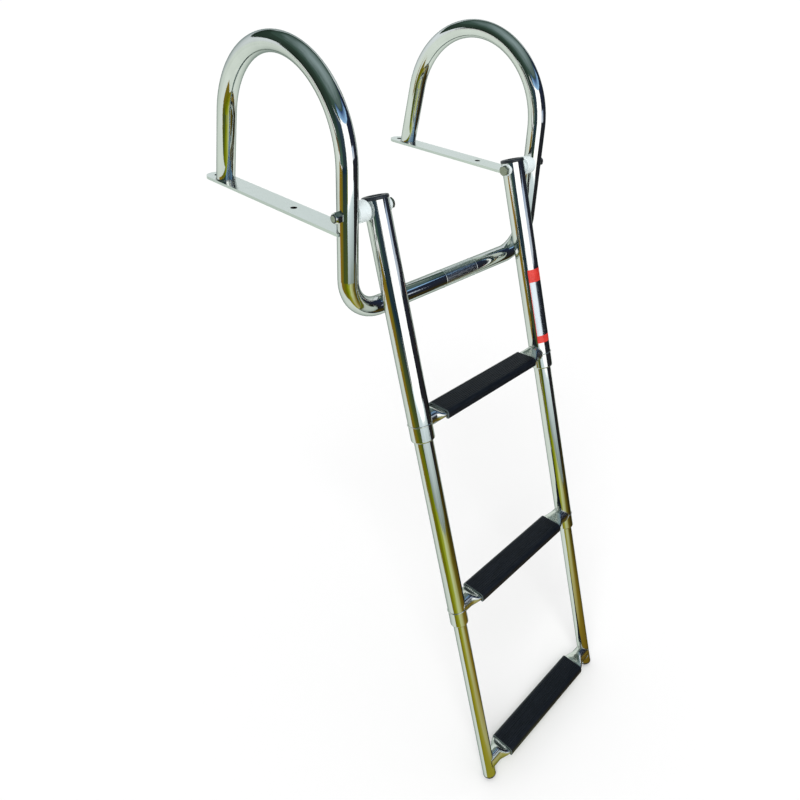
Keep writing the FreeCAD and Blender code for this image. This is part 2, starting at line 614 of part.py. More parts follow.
def rung(stage):
    name = f"{stage.capitalize()}Rung"
    body = doc.addObject("PartDesign::Body", f"{name}Body")
    end = rung_end(stage)
    for kind, wall in (("Additive", 0.0), ("Subtractive", size("rung_wall"))):
        feature = "PartDesign::Pad" if kind == "Additive" else "PartDesign::Pocket"
        straight = body.newObject(feature, f"{name}{kind}Straight")
        straight.Profile = rung_section(body, f"{name}{kind}Flat", wall, end, 0, "0")
        straight.Midplane = True
        straight.setExpression("Length", "2 * Sizes.rung_flat_end")
        for hand, word in ((-1, "Left"), (1, "Right")):
            run = "(Sizes.rung_round_start - Sizes.rung_flat_end)"
            sections = [rung_section(body, f"{name}{kind}{word}{k}", wall, end, k / RUNG_STEPS,
                                     f"{hand} * (Sizes.rung_flat_end + {run} * {k / RUNG_STEPS})")
                        for k in range(RUNG_STEPS + 1)]
            loft = body.newObject(f"PartDesign::{kind}Loft", f"{name}{kind}Loft{word}")
            loft.Profile = sections[0]
            loft.Sections = sections[1:]
            stub = body.newObject(feature, f"{name}{kind}Stub{word}")
            stub.Profile = rung_section(body, f"{name}{kind}End{word}", wall, end, 1,
                                        f"{hand} * Sizes.rung_round_start")
            stub.Reversed = (hand < 0) == (kind == "Additive")
            stub.setExpression("Length", "Sizes.rail_spacing / 2 - Sizes.rung_round_start")
    copes = []
    for hand, word in ((-1, "Left"), (1, "Right")):
        axis = Placement(Vector(hand * size("rail_spacing") / 2, 0, 0), Rotation(X_AXIS, -stop_lean))
        base = axis.multiply(Placement(Vector(0, 0, -2 * size("rung_dia")), Rotation()))
        copes.append(primitive("Part::Cylinder", f"{name}Cope{word}", base, Radius=f"Sizes.{stage}_dia / 2",
                               Height="Sizes.rung_dia * 4"))
    coped = cut(name, body, fuse(f"{name}Copes", *copes))
    keep(coped, f"{stage}_rung", rail_place(mid_x, size(f"{stage}_rung_place"), stop_lean))


# Tread: an extruded channel that clips over the flat rung, with a grooved top, round shoulders and a hooked
# lip on each side.
def groove_corners(reach, top):
    """Corners of the grooved top from one shoulder to the other."""
    pitch = size("tread_groove_pitch")
    depth = size("tread_groove_depth")
    corners = [(Vector(-reach, top), None)]
    count = int((reach - pitch / 4) / pitch)
    for k in range(-count, count + 1):
        y = k * pitch
        corners += [(Vector(y - pitch / 4, top), None), (Vector(y - pitch / 8, top - depth), None),
                    (Vector(y + pitch / 8, top - depth), None), (Vector(y + pitch / 4, top), None)]
    return corners


def mirrored(corners):
    """The same corners on the other side of the middle, in the order that closes the outline."""
    bulges = [None] + [bulge for _, bulge in corners[:-1]]
    return [(Vector(-point.x, point.y), bulge and Vector(-bulge.x, bulge.y))
            for (point, _), bulge in zip(reversed(corners), reversed(bulges))]


def tread(stage):
    name = f"{stage.capitalize()}Tread"
    body = doc.addObject("PartDesign::Body", f"{name}Body")
    profile = new_sketch(body, f"{name}Profile", "YZ_Plane")
    wide = size("tread_half_width")
    tall = size("tread_half_height")
    wall = size("tread_wall")
    shoulder = size("tread_shoulder_round")
    toe = size("tread_toe_round")
    lip = wide - size("tread_lip")
    shoulder_centre = Vector(wide - shoulder, tall - shoulder)
    toe_centre = Vector(wide - toe, toe - tall)
    side = [
        (Vector(shoulder_centre.x, tall), on_circle(shoulder_centre, shoulder, 45)),
        (Vector(wide, shoulder_centre.y), None),
        (Vector(wide, toe_centre.y), on_circle(toe_centre, toe, -45)),
        (Vector(toe_centre.x, -tall), None),
        (Vector(lip, -tall), None),
        (Vector(lip, wall - tall), None),
        (Vector(toe_centre.x, wall - tall), on_circle(toe_centre, toe - wall, -45)),
        (Vector(wide - wall, toe_centre.y), None),
        (Vector(wide - wall, shoulder_centre.y), on_circle(shoulder_centre, shoulder - wall, 45)),
        (Vector(shoulder_centre.x, tall - wall), None),
    ]
    grooves = groove_corners(shoulder_centre.x, tall)
    trace(profile, grooves + side + mirrored(side)[:-1])
    pad = body.newObject("PartDesign::Pad", f"{name}Pad")
    pad.Profile = profile
    pad.Midplane = True
    pad.setExpression("Length", "Sizes.tread_length")
    keep(body, f"{stage}_tread", rail_place(mid_x, size(f"{stage}_rung_place"), stop_lean))


for side in SIDES:
    handrail_tube(side)
    deck_plate(side)
    pivot_bolt(side)
    pivot_nut(side)
    pivot_spacer(side)
    saddle_washer(side)
    rail_cap(side)
    for stage in ("upper", "middle", "lower"):
        rail(stage, side)
    collar("upper", side)
    collar("middle", side)
    stop_bush("middle", "upper", side)
    stop_bush("lower", "middle", side)
    foot_plug(side)
crossbar_sleeve()
for stage in ("upper", "middle", "lower"):
    rung(stage)
    tread(stage)
doc.recompute()

failed = [o.Name for o in doc.Objects if "Invalid" in o.State or "Error" in o.State]
bad = [p.Label for p in parts if p.Shape.isNull() or not p.Shape.isValid()]
if failed or bad:
    raise RuntimeError(f"failed objects {failed}, bad shapes {bad}")

for stage, outer_stage in (("middle", "upper"), ("lower", "middle")):
    travel = (size(f"{stage}_rung_place") - rung_end(stage)[1] - size("step_clearance")
              - size(f"{outer_stage}_collar_bottom"))
    print(stage, "section slides up", round(travel, 2))
print("the rails lean", round(stop_lean, 3), "degrees against the crossbar")

os.makedirs("parts", exist_ok=True)
for part in parts:
    part.Shape.exportStep(f"parts/{part.Label}.step")
    print(part.Label, len(part.Shape.Solids), round(part.Shape.Volume))
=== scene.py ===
# Looks of a telescoping boarding ladder: polished steel, weld beads, grooved treads, plastic and a studio.
# Units are metres. +Z is up, +Y points inboard along the deck, +X from the left handrail to the right one.

import json
from math import asin, atan2, cos, pi, radians, sin, sqrt, tan

import bmesh
import bpy
from mathutils import Matrix, Vector


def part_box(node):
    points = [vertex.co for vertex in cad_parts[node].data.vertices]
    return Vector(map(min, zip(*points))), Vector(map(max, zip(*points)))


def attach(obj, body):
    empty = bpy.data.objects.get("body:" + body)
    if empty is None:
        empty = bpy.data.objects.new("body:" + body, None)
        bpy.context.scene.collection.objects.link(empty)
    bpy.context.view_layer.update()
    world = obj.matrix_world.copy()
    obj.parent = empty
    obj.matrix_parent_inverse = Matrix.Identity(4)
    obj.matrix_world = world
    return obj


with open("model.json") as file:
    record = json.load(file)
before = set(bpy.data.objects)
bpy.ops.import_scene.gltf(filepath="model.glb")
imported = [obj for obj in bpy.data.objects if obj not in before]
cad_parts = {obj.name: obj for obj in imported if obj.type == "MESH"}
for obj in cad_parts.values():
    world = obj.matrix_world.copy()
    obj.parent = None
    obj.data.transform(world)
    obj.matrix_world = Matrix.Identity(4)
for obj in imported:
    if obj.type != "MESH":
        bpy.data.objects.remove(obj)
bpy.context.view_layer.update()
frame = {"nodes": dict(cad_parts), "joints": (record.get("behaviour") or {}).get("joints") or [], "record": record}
nodes = frame["nodes"]

HANDS = {"left": -1, "right": 1}
SIDES = tuple(HANDS)
STAGES = ("upper", "middle", "lower")

# Places that the frame gives.
joints = {joint["name"]: joint for joint in frame["joints"]}
mounts = {mount["name"]: mount for mount in frame["record"]["mounts"]}
screw_pattern = mounts["deck_screws"]["dims"]
ARCH_SPACING = screw_pattern["spacing_x_mm"] / 1000
SCREW_PITCH = screw_pattern["spacing_y_mm"] / 1000
SCREW_HOLE_R = screw_pattern["hole_r_mm"] / 1000
MID_X, LEG_Y, PIVOT_Z = joints["ladder_swing"]["pos_m"]
RAIL_LEAN = atan2(*joints["middle_slide"]["axis"][1:])
PLATE_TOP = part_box("deck_plate_left")[1].z
NUT_FACE_X = {"left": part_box("pivot_nut_left")[0].x, "right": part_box("pivot_nut_right")[1].x}
SLEEVE_END_X = {side: corner.x for side, corner in zip(SIDES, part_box("crossbar_sleeve"))}
TREAD_HALF_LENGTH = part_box("upper_tread")[1].x - MID_X

# Sizes that the trim follows. Rungs are placed by their distance down the rails from the pivot, and tilted so
# that the treads lie level where the rails lean against the crossbar.
ARCH_R = 0.0127
CROSSBAR_DROP = 0.108
CROWN_RADIUS = 0.1215
CROWN_HEIGHT = 0.0745
REAR_LEAN = radians(10.9)
RAIL_SPACING = 0.2634
RAIL_R = {"upper": 0.015875, "middle": 0.0127, "lower": 0.009525}
FACE_GAP = 0.0003
RUNG_PLACE = {"upper": 0.2785, "middle": 0.562, "lower": 0.8375}
RUNG_TILT = asin((ARCH_R + RAIL_R["upper"] + FACE_GAP) / (PIVOT_Z + CROSSBAR_DROP))
RUNG_R = 0.0125
RUNG_MARGIN = 0.0011
COLLAR_OFFSET = 0.0021
ARCH_X = {side: MID_X + hand * ARCH_SPACING / 2 for side, hand in HANDS.items()}
RAIL_X = {side: MID_X + hand * RAIL_SPACING / 2 for side, hand in HANDS.items()}
REAR_FOOT_Y = (LEG_Y + CROWN_RADIUS * (1 + cos(REAR_LEAN))
               + (CROWN_HEIGHT + CROWN_RADIUS * sin(REAR_LEAN) - PLATE_TOP) * tan(REAR_LEAN))


def rail_frame(x, along, tilt=0.0):
    """Matrix at a distance down the rails from the pivot, with local Z up the rails less the tilt."""
    place = Vector((x, LEG_Y - along * sin(RAIL_LEAN), PIVOT_Z - along * cos(RAIL_LEAN)))
    return Matrix.Translation(place) @ Matrix.Rotation(tilt - RAIL_LEAN, 4, "X")


def sideways_frame(x, y, z):
    """Matrix at a place, with local Z along X."""
    return Matrix.Translation((x, y, z)) @ Matrix.Rotation(pi / 2, 4, "Y")


# Node helpers.
def material(name):
    made = bpy.data.materials.new(name)
    made.use_nodes = True
    tree = made.node_tree
    return made, tree, tree.nodes["Principled BSDF"]


def add(tree, kind, **settings):
    node = tree.nodes.new(kind)
    for key, value in settings.items():
        if key in node.inputs:
            node.inputs[key].default_value = value
        else:
            setattr(node, key, value)
    return node


def maths(tree, operation, first, second):
    node = add(tree, "ShaderNodeMath", operation=operation)
    tree.links.new(first, node.inputs[0])
    tree.links.new(second, node.inputs[1])
    return node.outputs["Value"]


def vector_step(tree, operation, vector, other=(0, 0, 0), output="Vector"):
    node = add(tree, "ShaderNodeVectorMath", operation=operation)
    tree.links.new(vector, node.inputs[0])
    node.inputs[1].default_value = other
    return node.outputs[output]


def distance_to(tree, vector, place):
    return vector_step(tree, "DISTANCE", vector, place, "Value")


def object_coordinates(tree, scale=(1, 1, 1), grain_turn=(0, 0, 0)):
    """Object coordinates, turned first and scaled after that."""
    source = add(tree, "ShaderNodeTexCoord")
    turned = add(tree, "ShaderNodeMapping")
    turned.inputs["Rotation"].default_value = grain_turn
    tree.links.new(source.outputs["Object"], turned.inputs["Vector"])
    return vector_step(tree, "MULTIPLY", turned.outputs["Vector"], scale)


def noise(tree, vector, detail=2.0, roughness=0.5):
    node = add(tree, "ShaderNodeTexNoise", Scale=1.0, Detail=detail, Roughness=roughness)
    tree.links.new(vector, node.inputs["Vector"])
    return node.outputs["Fac"]


def even_noise(tree, per_metre, detail, roughness=0.5):
    """Noise of one scale in all directions."""
    return noise(tree, object_coordinates(tree, (per_metre, per_metre, per_metre)), detail, roughness)


def ranged(tree, value, low, high, start=0.0, end=1.0):
    """The value mapped from its own start and end to low and high."""
    node = add(tree, "ShaderNodeMapRange")
    node.inputs["From Min"].default_value = start
    node.inputs["From Max"].default_value = end
    node.inputs["To Min"].default_value = low
    node.inputs["To Max"].default_value = high
    tree.links.new(value, node.inputs["Value"])
    return node.outputs["Result"]


def banded(tree, value, bands):
    """Colour ramp through (position, colour) pairs in rising order."""
    ramp = add(tree, "ShaderNodeValToRGB")
    stops = ramp.color_ramp.elements
    for stop, (position, colour) in zip(stops, (bands[0], bands[-1])):
        stop.position = position
        stop.color = (*colour, 1)
    for position, colour in bands[1:-1]:
        stops.new(position).color = (*colour, 1)
    tree.links.new(value, ramp.inputs["Fac"])
    return ramp.outputs["Color"]


def tinted(tree, value, low, high, start=0.35, end=0.65):
    return banded(tree, value, ((start, low), (end, high)))


def blended(tree, share, first, second):
    """The linked colour first where the share is 0, and the plain colour second where it is 1."""
    node = add(tree, "ShaderNodeMixRGB")
    tree.links.new(share, node.inputs["Fac"])
    tree.links.new(first, node.inputs["Color1"])
    node.inputs["Color2"].default_value = (*second, 1)
    return node.outputs["Color"]


def bumped(tree, height, distance, strength=1.0, below=None):
    node = add(tree, "ShaderNodeBump", Strength=strength, Distance=distance)
    tree.links.new(height, node.inputs["Height"])
    if below is not None:
        tree.links.new(below, node.inputs["Normal"])
    return node.outputs["Normal"]


def darker(colour, share):
    return tuple(share * part for part in colour)


# Mirror-polished tube: fine and wide polishing lines along the tube, faint smears, and a slight waviness.
# Scales are per metre, across the tube twice and then along it. The edge tint darkens the tube's contour.
FINE_LINES = (2600, 2600, 26)
WIDE_LINES = (620, 620, 5)
SMEARS = (42, 42, 9)
WAVES = (26, 26, 7)
WAVE_DEPTH = 0.00025
EDGE_TINT = (0.30, 0.34, 0.33, 1)


def polished_steel(name, grain_turn, tone=(0.72, 0.74, 0.72), haze=0.03, line_depth=0.00003):
    made, tree, shader = material(name)
    fine = noise(tree, object_coordinates(tree, FINE_LINES, grain_turn), detail=3)
    wide = noise(tree, object_coordinates(tree, WIDE_LINES, grain_turn), detail=2)
    smears = noise(tree, object_coordinates(tree, SMEARS, grain_turn), detail=5, roughness=0.6)
    waves = noise(tree, object_coordinates(tree, WAVES, grain_turn), detail=1)
    shader.inputs["Metallic"].default_value = 1.0
    shader.inputs["Specular Tint"].default_value = EDGE_TINT
    tree.links.new(tinted(tree, smears, darker(tone, 0.93), tone), shader.inputs["Base Color"])
    line_haze = ranged(tree, fine, haze * 0.5, haze * 1.6, 0.3, 0.7)
    smear_haze = ranged(tree, smears, 0.0, haze, 0.45, 0.75)
    tree.links.new(maths(tree, "ADD", line_haze, smear_haze), shader.inputs["Roughness"])
    wavy = bumped(tree, waves, WAVE_DEPTH, 0.5)
    lined = bumped(tree, wide, line_depth, 1.0, wavy)
    tree.links.new(bumped(tree, fine, line_depth / 8, 1.0, lined), shader.inputs["Normal"])
    return made


# Satin steel with a brushed grain, or an even one on what is turned, cast or welded. A hole shade, where given, is
# painted shade: a near-black colour on the walls of the screw holes.
GRAIN_DEPTH = 0.00001


def satin_steel(name, grain, tone, rough, unevenness=0.12, hole_painted_shade=None):
    made, tree, shader = material(name)
    lines = noise(tree, object_coordinates(tree, grain), detail=4, roughness=0.6)
    smears = even_noise(tree, 60, detail=4)
    shader.inputs["Metallic"].default_value = 1.0
    colour = tinted(tree, lines, darker(tone, 1 - unevenness), tone, 0.3, 0.7)
    # Painted shade: the walls of the screw holes are coloured near-black, as if in shadow.
    if hole_painted_shade is not None:
        colour = blended(tree, painted_shade_hole_mask(tree), colour, hole_painted_shade)
    tree.links.new(colour, shader.inputs["Base Color"])
    line_haze = ranged(tree, lines, rough * 0.75, rough * 1.2, 0.3, 0.7)
    smear_haze = ranged(tree, smears, -0.03, 0.04, 0.3, 0.7)
    tree.links.new(maths(tree, "ADD", line_haze, smear_haze), shader.inputs["Roughness"])
    tree.links.new(bumped(tree, lines, GRAIN_DEPTH, 0.5), shader.inputs["Normal"])
    return made


# The painted shade in the screw holes reaches this far past their walls, and fades out over the same distance
# again.
HOLE_RIM = 0.00004


def painted_shade_hole_mask(tree):
    """Share of the painted shade in the screw holes: 1 on the walls of the four screw holes, which are folded onto
    one, and 0 on the rest of the plates.
    """
    quarter = (MID_X, SCREW_PITCH / 2, 0)
    from_middle = vector_step(tree, "SUBTRACT", object_coordinates(tree), quarter)
    folded = vector_step(tree, "ABSOLUTE", from_middle)
    off_hole = distance_to(tree, vector_step(tree, "MULTIPLY", folded, (1, 1, 0)), quarter)
    return ranged(tree, off_hole, 1, 0, SCREW_HOLE_R + HOLE_RIM, SCREW_HOLE_R + 2 * HOLE_RIM)


# Moulded nylon: faintly mottled, smooth, and slightly translucent.
NYLON_SKIN_DEPTH = 0.000004


def nylon(name, tone):
    made, tree, shader = material(name)
    mottle = even_noise(tree, 90, detail=3)
    skin = even_noise(tree, 1800, detail=2)
    tree.links.new(tinted(tree, mottle, darker(tone, 0.97), tone), shader.inputs["Base Color"])
    tree.links.new(ranged(tree, mottle, 0.30, 0.42), shader.inputs["Roughness"])
    tree.links.new(bumped(tree, skin, NYLON_SKIN_DEPTH, 0.3), shader.inputs["Normal"])
    shader.inputs["Subsurface Weight"].default_value = 0.1
    shader.inputs["Subsurface Radius"].default_value = (1, 1, 1)
    shader.inputs["Subsurface Scale"].default_value = 0.01
    return made


def moulded_plastic(name, tone, pale, rough, skin_depth):
    made, tree, shader = material(name)
    mottle = even_noise(tree, 140, detail=4)
    skin = even_noise(tree, 2400, detail=2)
    tree.links.new(tinted(tree, mottle, tone, pale), shader.inputs["Base Color"])
    tree.links.new(ranged(tree, mottle, rough * 0.8, rough * 1.25), shader.inputs["Roughness"])
    tree.links.new(bumped(tree, skin, skin_depth, 0.5), shader.inputs["Normal"])
    return made


# Extruded tread: fine lines along its length, slightly paler where they stand proud, and pale sawn ends.
TREAD_LINES = (14, 2200, 2200)
TREAD_DUST = (60, 300, 300)
TREAD_LINE_DEPTH = 0.00012
TREAD_DARK = (0.002, 0.004, 0.008)
TREAD_PALE = (0.009, 0.013, 0.021)
TREAD_SAWN = (0.10, 0.13, 0.13)
SAW_REACH = 0.0001


def tread_plastic(name):
    made, tree, shader = material(name)
    grain_turn = (RAIL_LEAN - RUNG_TILT, 0, 0)
    lines = noise(tree, object_coordinates(tree, TREAD_LINES, grain_turn), detail=4, roughness=0.6)
    dust = noise(tree, object_coordinates(tree, TREAD_DUST, grain_turn), detail=4, roughness=0.65)
    colour = tinted(tree, maths(tree, "MULTIPLY", lines, dust), TREAD_DARK, TREAD_PALE, 0.18, 0.45)
    from_middle = vector_step(tree, "SUBTRACT", object_coordinates(tree), (MID_X, 0, 0))
    sideways = vector_step(tree, "MULTIPLY", from_middle, (1, 0, 0))
    off_middle = vector_step(tree, "LENGTH", sideways, output="Value")
    sawn = ranged(tree, off_middle, 0, 1, TREAD_HALF_LENGTH - 2 * SAW_REACH, TREAD_HALF_LENGTH - SAW_REACH)
    tree.links.new(blended(tree, sawn, colour, TREAD_SAWN), shader.inputs["Base Color"])
    tree.links.new(ranged(tree, lines, 0.34, 0.58, 0.3, 0.7), shader.inputs["Roughness"])
    tree.links.new(bumped(tree, lines, TREAD_LINE_DEPTH, 0.8), shader.inputs["Normal"])
    shader.inputs["Specular IOR Level"].default_value = 0.22
    return made


UPRIGHT = (0, 0, 0)
ALONG_RAILS = (RAIL_LEAN, 0, 0)
ACROSS = (0, pi / 2, 0)
BRUSHED = (900, 18, 900)
TURNED = (900, 900, 900)
WELDED = (700, 700, 700)
RAIL_LINE_DEPTH = 0.0001
finishes = {
    "handrail_steel": polished_steel("handrail_steel", UPRIGHT, haze=0.042),
    "sleeve_steel": polished_steel("sleeve_steel", ACROSS, tone=(0.82, 0.85, 0.84), haze=0.16),
    "rail_steel": polished_steel("rail_steel", ALONG_RAILS, line_depth=RAIL_LINE_DEPTH),
    "collar_steel": polished_steel("collar_steel", ALONG_RAILS, haze=0.05, line_depth=RAIL_LINE_DEPTH),
    "rung_steel": polished_steel("rung_steel", ACROSS, haze=0.16),
    # The deck plates' screw-hole walls get a near-black painted shade.
    "plate_steel": satin_steel("plate_steel", BRUSHED, tone=(0.61, 0.66, 0.63), rough=0.16,
                               unevenness=0.05, hole_painted_shade=(0.03, 0.03, 0.03)),
    "fastener_steel": satin_steel("fastener_steel", TURNED, tone=(0.74, 0.75, 0.73), rough=0.1),
    "bolt_steel": satin_steel("bolt_steel", TURNED, tone=(0.34, 0.38, 0.31), rough=0.34),
    "weld_steel": satin_steel("weld_steel", WELDED, tone=(0.58, 0.58, 0.56), rough=0.2),
    "strip_film": polished_steel("strip_film", ALONG_RAILS, tone=(0.52, 0.58, 0.62), haze=0.14,
                                 line_depth=RAIL_LINE_DEPTH),
    "strip_red": moulded_plastic("strip_red", tone=(0.60, 0.022, 0.014), pale=(0.72, 0.040, 0.026),
                                 rough=0.28, skin_depth=0.00001),
    "white_nylon": nylon("white_nylon", (0.82, 0.91, 0.92)),
    "bush_nylon": nylon("bush_nylon", (0.78, 0.80, 0.79)),
    "black_plastic": moulded_plastic("black_plastic", tone=(0.008, 0.012, 0.018), pale=(0.014, 0.020, 0.029),
                                     rough=0.42, skin_depth=0.00002),
    "tread_plastic": tread_plastic("tread_plastic"),
}

slot_of = {part["node"]: part["material_slot"] for part in frame["record"]["subparts"]}
own_finish = {"crossbar_sleeve": "sleeve_steel"}
own_finish.update({f"pivot_bolt_{side}": "bolt_steel" for side in SIDES})
for name, obj in nodes.items():
    obj.data.materials.clear()
    obj.data.materials.append(finishes[own_finish.get(name, slot_of[name])])


# Mesh helpers.
def new_piece(name, mesh, finish, body):
    obj = bpy.data.objects.new(name, mesh)
    bpy.context.scene.collection.objects.link(obj)
    mesh.materials.append(finishes[finish])
    for face in mesh.polygons:
        face.use_smooth = True
    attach(obj, body)
    return obj


def round_angles(count):
    return [2 * pi * k / count for k in range(count)]


def swept_bead(name, line, radius_at, closed=True, around=10):
    """A bead along a line of points, with its own radius at each point."""
    mesh = bpy.data.meshes.new(name)
    build = bmesh.new()
    count = len(line)
    rings = []
    for k, point in enumerate(line):
        before = line[(k - 1) % count] if closed or k else point
        after = line[(k + 1) % count] if closed or k < count - 1 else point
        run = (after - before).normalized()
        side = run.orthogonal() if not rings else (last_side - run * last_side.dot(run)).normalized()
        side.normalize()
        last_side = side
        up = run.cross(side)
        radius = radius_at(k)
        rings.append([build.verts.new(point + radius * (cos(t) * side + sin(t) * up))
                      for t in round_angles(around)])
    for k in range(count if closed else count - 1):
        first, second = rings[k], rings[(k + 1) % count]
        shift = 0
        if closed and k == count - 1:
            shift = min(range(around), key=lambda s: (second[s].co - first[0].co).length)
        for j in range(around):
            build.faces.new((first[j], first[(j + 1) % around],
                             second[(j + 1 + shift) % around], second[(j + shift) % around]))
    if not closed:
        build.faces.new(rings[0])
        build.faces.new(list(reversed(rings[-1])))
    bmesh.ops.recalc_face_normals(build, faces=build.faces)
    build.to_mesh(mesh)
    build.free()
    return mesh


def even(radius):
    """Bead radius that is the same all along."""
    return lambda k: radius


RIPPLE_LOW = 0.82
RIPPLE_SWELL = 0.22


def rippled(radius, ripples, count):
    """Bead radius that swells with each pass of the torch."""
    return lambda k: radius * (RIPPLE_LOW + RIPPLE_SWELL * abs(sin(ripples * pi * k / count)))


def ring_line(place, radius, count=96):
    return [place @ Vector((radius * cos(t), radius * sin(t), 0)) for t in round_angles(count)]


# Weld where each rung meets its rails: a rippled bead along the coped edge.
WELD_POINTS = 160
WELD_RIPPLES = 26
RUNG_BEAD_R = 0.0006
GIRTH_ROUNDS = 60


def rung_end(stage):
    """Half width and half height of a rung's end, with the girth of a round tube."""
    half = min(RUNG_R, RAIL_R[stage] + RUNG_MARGIN)
    tall = RUNG_R
    for _ in range(GIRTH_ROUNDS):
        tall += (2 * RUNG_R - 3 * (half + tall) + sqrt((3 * half + tall) * (half + 3 * tall))) / 2
    return half, tall


def rung_weld(stage, side):
    name = f"rung_weld_{stage}_{side}"
    half, tall = rung_end(stage)
    rung_place = rail_frame(MID_X, RUNG_PLACE[stage], RUNG_TILT)
    line = []
    for t in round_angles(WELD_POINTS):
        y, z = half * cos(t), tall * sin(t)
        off_axis = y * cos(RUNG_TILT) - z * sin(RUNG_TILT)
        depth = sqrt(max(RAIL_R[stage] ** 2 - off_axis ** 2, 0))
        line.append(rung_place @ Vector((HANDS[side] * (RAIL_SPACING / 2 - depth), y, z)))
    mesh = swept_bead(name, line, rippled(RUNG_BEAD_R, WELD_RIPPLES, WELD_POINTS))
    new_piece(name, mesh, "weld_steel", f"{stage}_section")


# Welds of the handrail's legs: the rear one stands on the deck plate, and the plate's front end is cut round
# the front one.
REAR_BEAD_R = 0.0009
REAR_BEAD_REACH = ARCH_R + 0.0003
FRONT_BEAD_R = 0.0006
FRONT_BEAD_Z = {"upper": PLATE_TOP + FRONT_BEAD_R, "lower": FRONT_BEAD_R}


def rear_weld(side):
    name = f"rear_weld_{side}"
    line = [Vector((ARCH_X[side] + REAR_BEAD_REACH * cos(t),
                    REAR_FOOT_Y + REAR_BEAD_REACH * sin(t) / cos(REAR_LEAN), PLATE_TOP))
            for t in round_angles(WELD_POINTS)]
    mesh = swept_bead(name, line, rippled(REAR_BEAD_R, WELD_RIPPLES, WELD_POINTS))
    new_piece(name, mesh, "weld_steel", "root")


def front_weld(level, side):
    name = f"front_weld_{level}_{side}"
    spans = WELD_POINTS // 2
    half_turn = [pi * k / spans for k in range(spans + 1)]
    line = [Vector((ARCH_X[side] + ARCH_R * cos(t), LEG_Y + ARCH_R * sin(t), FRONT_BEAD_Z[level]))
            for t in half_turn]
    mesh = swept_bead(name, line, rippled(FRONT_BEAD_R, WELD_RIPPLES // 2, spans), closed=False)
    new_piece(name, mesh, "weld_steel", "root")


# Fine seams: the top edge of each collar and both ends of the crossbar sleeve, each sunk into its tube.
COLLAR_SEAM_R = 0.0009
COLLAR_SEAM_SUNK = 0.0001
SLEEVE_SEAM_R = 0.0005
SLEEVE_SEAM_SUNK = 0.0002


def collar_seam(stage, side):
    name = f"collar_seam_{stage}_{side}"
    place = rail_frame(RAIL_X[side], RUNG_PLACE[stage] + COLLAR_OFFSET)
    ring = ring_line(place, RAIL_R[stage] - COLLAR_SEAM_SUNK)
    mesh = swept_bead(name, ring, even(COLLAR_SEAM_R), around=8)
    new_piece(name, mesh, "collar_steel", f"{stage}_section")


def sleeve_seam(side):
    name = f"sleeve_seam_{side}"
    ring = ring_line(sideways_frame(SLEEVE_END_X[side], LEG_Y, -CROSSBAR_DROP), ARCH_R - SLEEVE_SEAM_SUNK)
    mesh = swept_bead(name, ring, even(SLEEVE_SEAM_R), around=8)
    new_piece(name, mesh, "sleeve_steel", "root")


# Locking insert of each pivot nut: a black nylon ring around the end of the bolt.
INSERT_RING_R = 0.0044
INSERT_R = 0.0009
INSERT_SUNK = 0.0005


def nut_insert(side):
    name = f"nut_insert_{side}"
    place = sideways_frame(NUT_FACE_X[side] - HANDS[side] * INSERT_SUNK, LEG_Y, PIVOT_Z)
    mesh = swept_bead(name, ring_line(place, INSERT_RING_R, count=48), even(INSERT_R), around=12)
    new_piece(name, mesh, "black_plastic", "root")


# Blank strip on the right upper rail: a pale film between two red bands, with a red edge. Turns are degrees
# around the rail, and reaches are distances down it from the pivot.
STRIP_UNDERSIDE = 0.00005
STRIP_FACE = 0.0002
STRIP_STEP = 4
STRIP_TURNS = (214, 322)
RED_EDGE_TURN = 217
TOP_BAND = (0.148, 0.167)
LOW_BAND = (0.2506, 0.262)
FILM = (TOP_BAND[1], LOW_BAND[0])
SHARP_RIM = 0.5


def strip_row(build, radius, angles, along):
    place = rail_frame(RAIL_X["right"], along)
    return [build.verts.new(place @ Vector((radius * cos(t), radius * sin(t), 0))) for t in angles]


def rail_patch(name, turns, reach, finish):
    """A thin closed patch on the right upper rail, between two turns and over a reach."""
    first, last = turns
    steps = max(2, round((last - first) / STRIP_STEP))
    angles = [radians(first + (last - first) * k / steps) for k in range(steps + 1)]
    mesh = bpy.data.meshes.new(name)
    build = bmesh.new()
    under_top, under_low, over_top, over_low = (
        strip_row(build, RAIL_R["upper"] + height, angles, along)
        for height in (STRIP_UNDERSIDE, STRIP_FACE) for along in reach)
    for k in range(steps):
        build.faces.new((over_top[k], over_top[k + 1], over_low[k + 1], over_low[k]))
        build.faces.new((under_top[k], under_low[k], under_low[k + 1], under_top[k + 1]))
        build.faces.new((under_top[k], under_top[k + 1], over_top[k + 1], over_top[k]))
        build.faces.new((under_low[k + 1], under_low[k], over_low[k], over_low[k + 1]))
    for k in (0, steps):
        build.faces.new((under_top[k], over_top[k], over_low[k], under_low[k]))
    bmesh.ops.recalc_face_normals(build, faces=build.faces)
    for rim in build.edges:
        rim.smooth = rim.calc_face_angle(0) < SHARP_RIM
    build.to_mesh(mesh)
    build.free()
    new_piece(name, mesh, finish, "upper_section")


for stage in STAGES:
    for side in SIDES:
        rung_weld(stage, side)
for side in SIDES:
    rear_weld(side)
    for level in FRONT_BEAD_Z:
        front_weld(level, side)
for stage in ("upper", "middle"):
    for side in SIDES:
        collar_seam(stage, side)
for side in SIDES:
    sleeve_seam(side)
for side in SIDES:
    nut_insert(side)
rail_patch("strip_band_top", STRIP_TURNS, TOP_BAND, "strip_red")
rail_patch("strip_band_low", STRIP_TURNS, LOW_BAND, "strip_red")
rail_patch("strip_edge", (STRIP_TURNS[0], RED_EDGE_TURN), FILM, "strip_red")
rail_patch("strip_film", (RED_EDGE_TURN, STRIP_TURNS[1]), FILM, "strip_film")


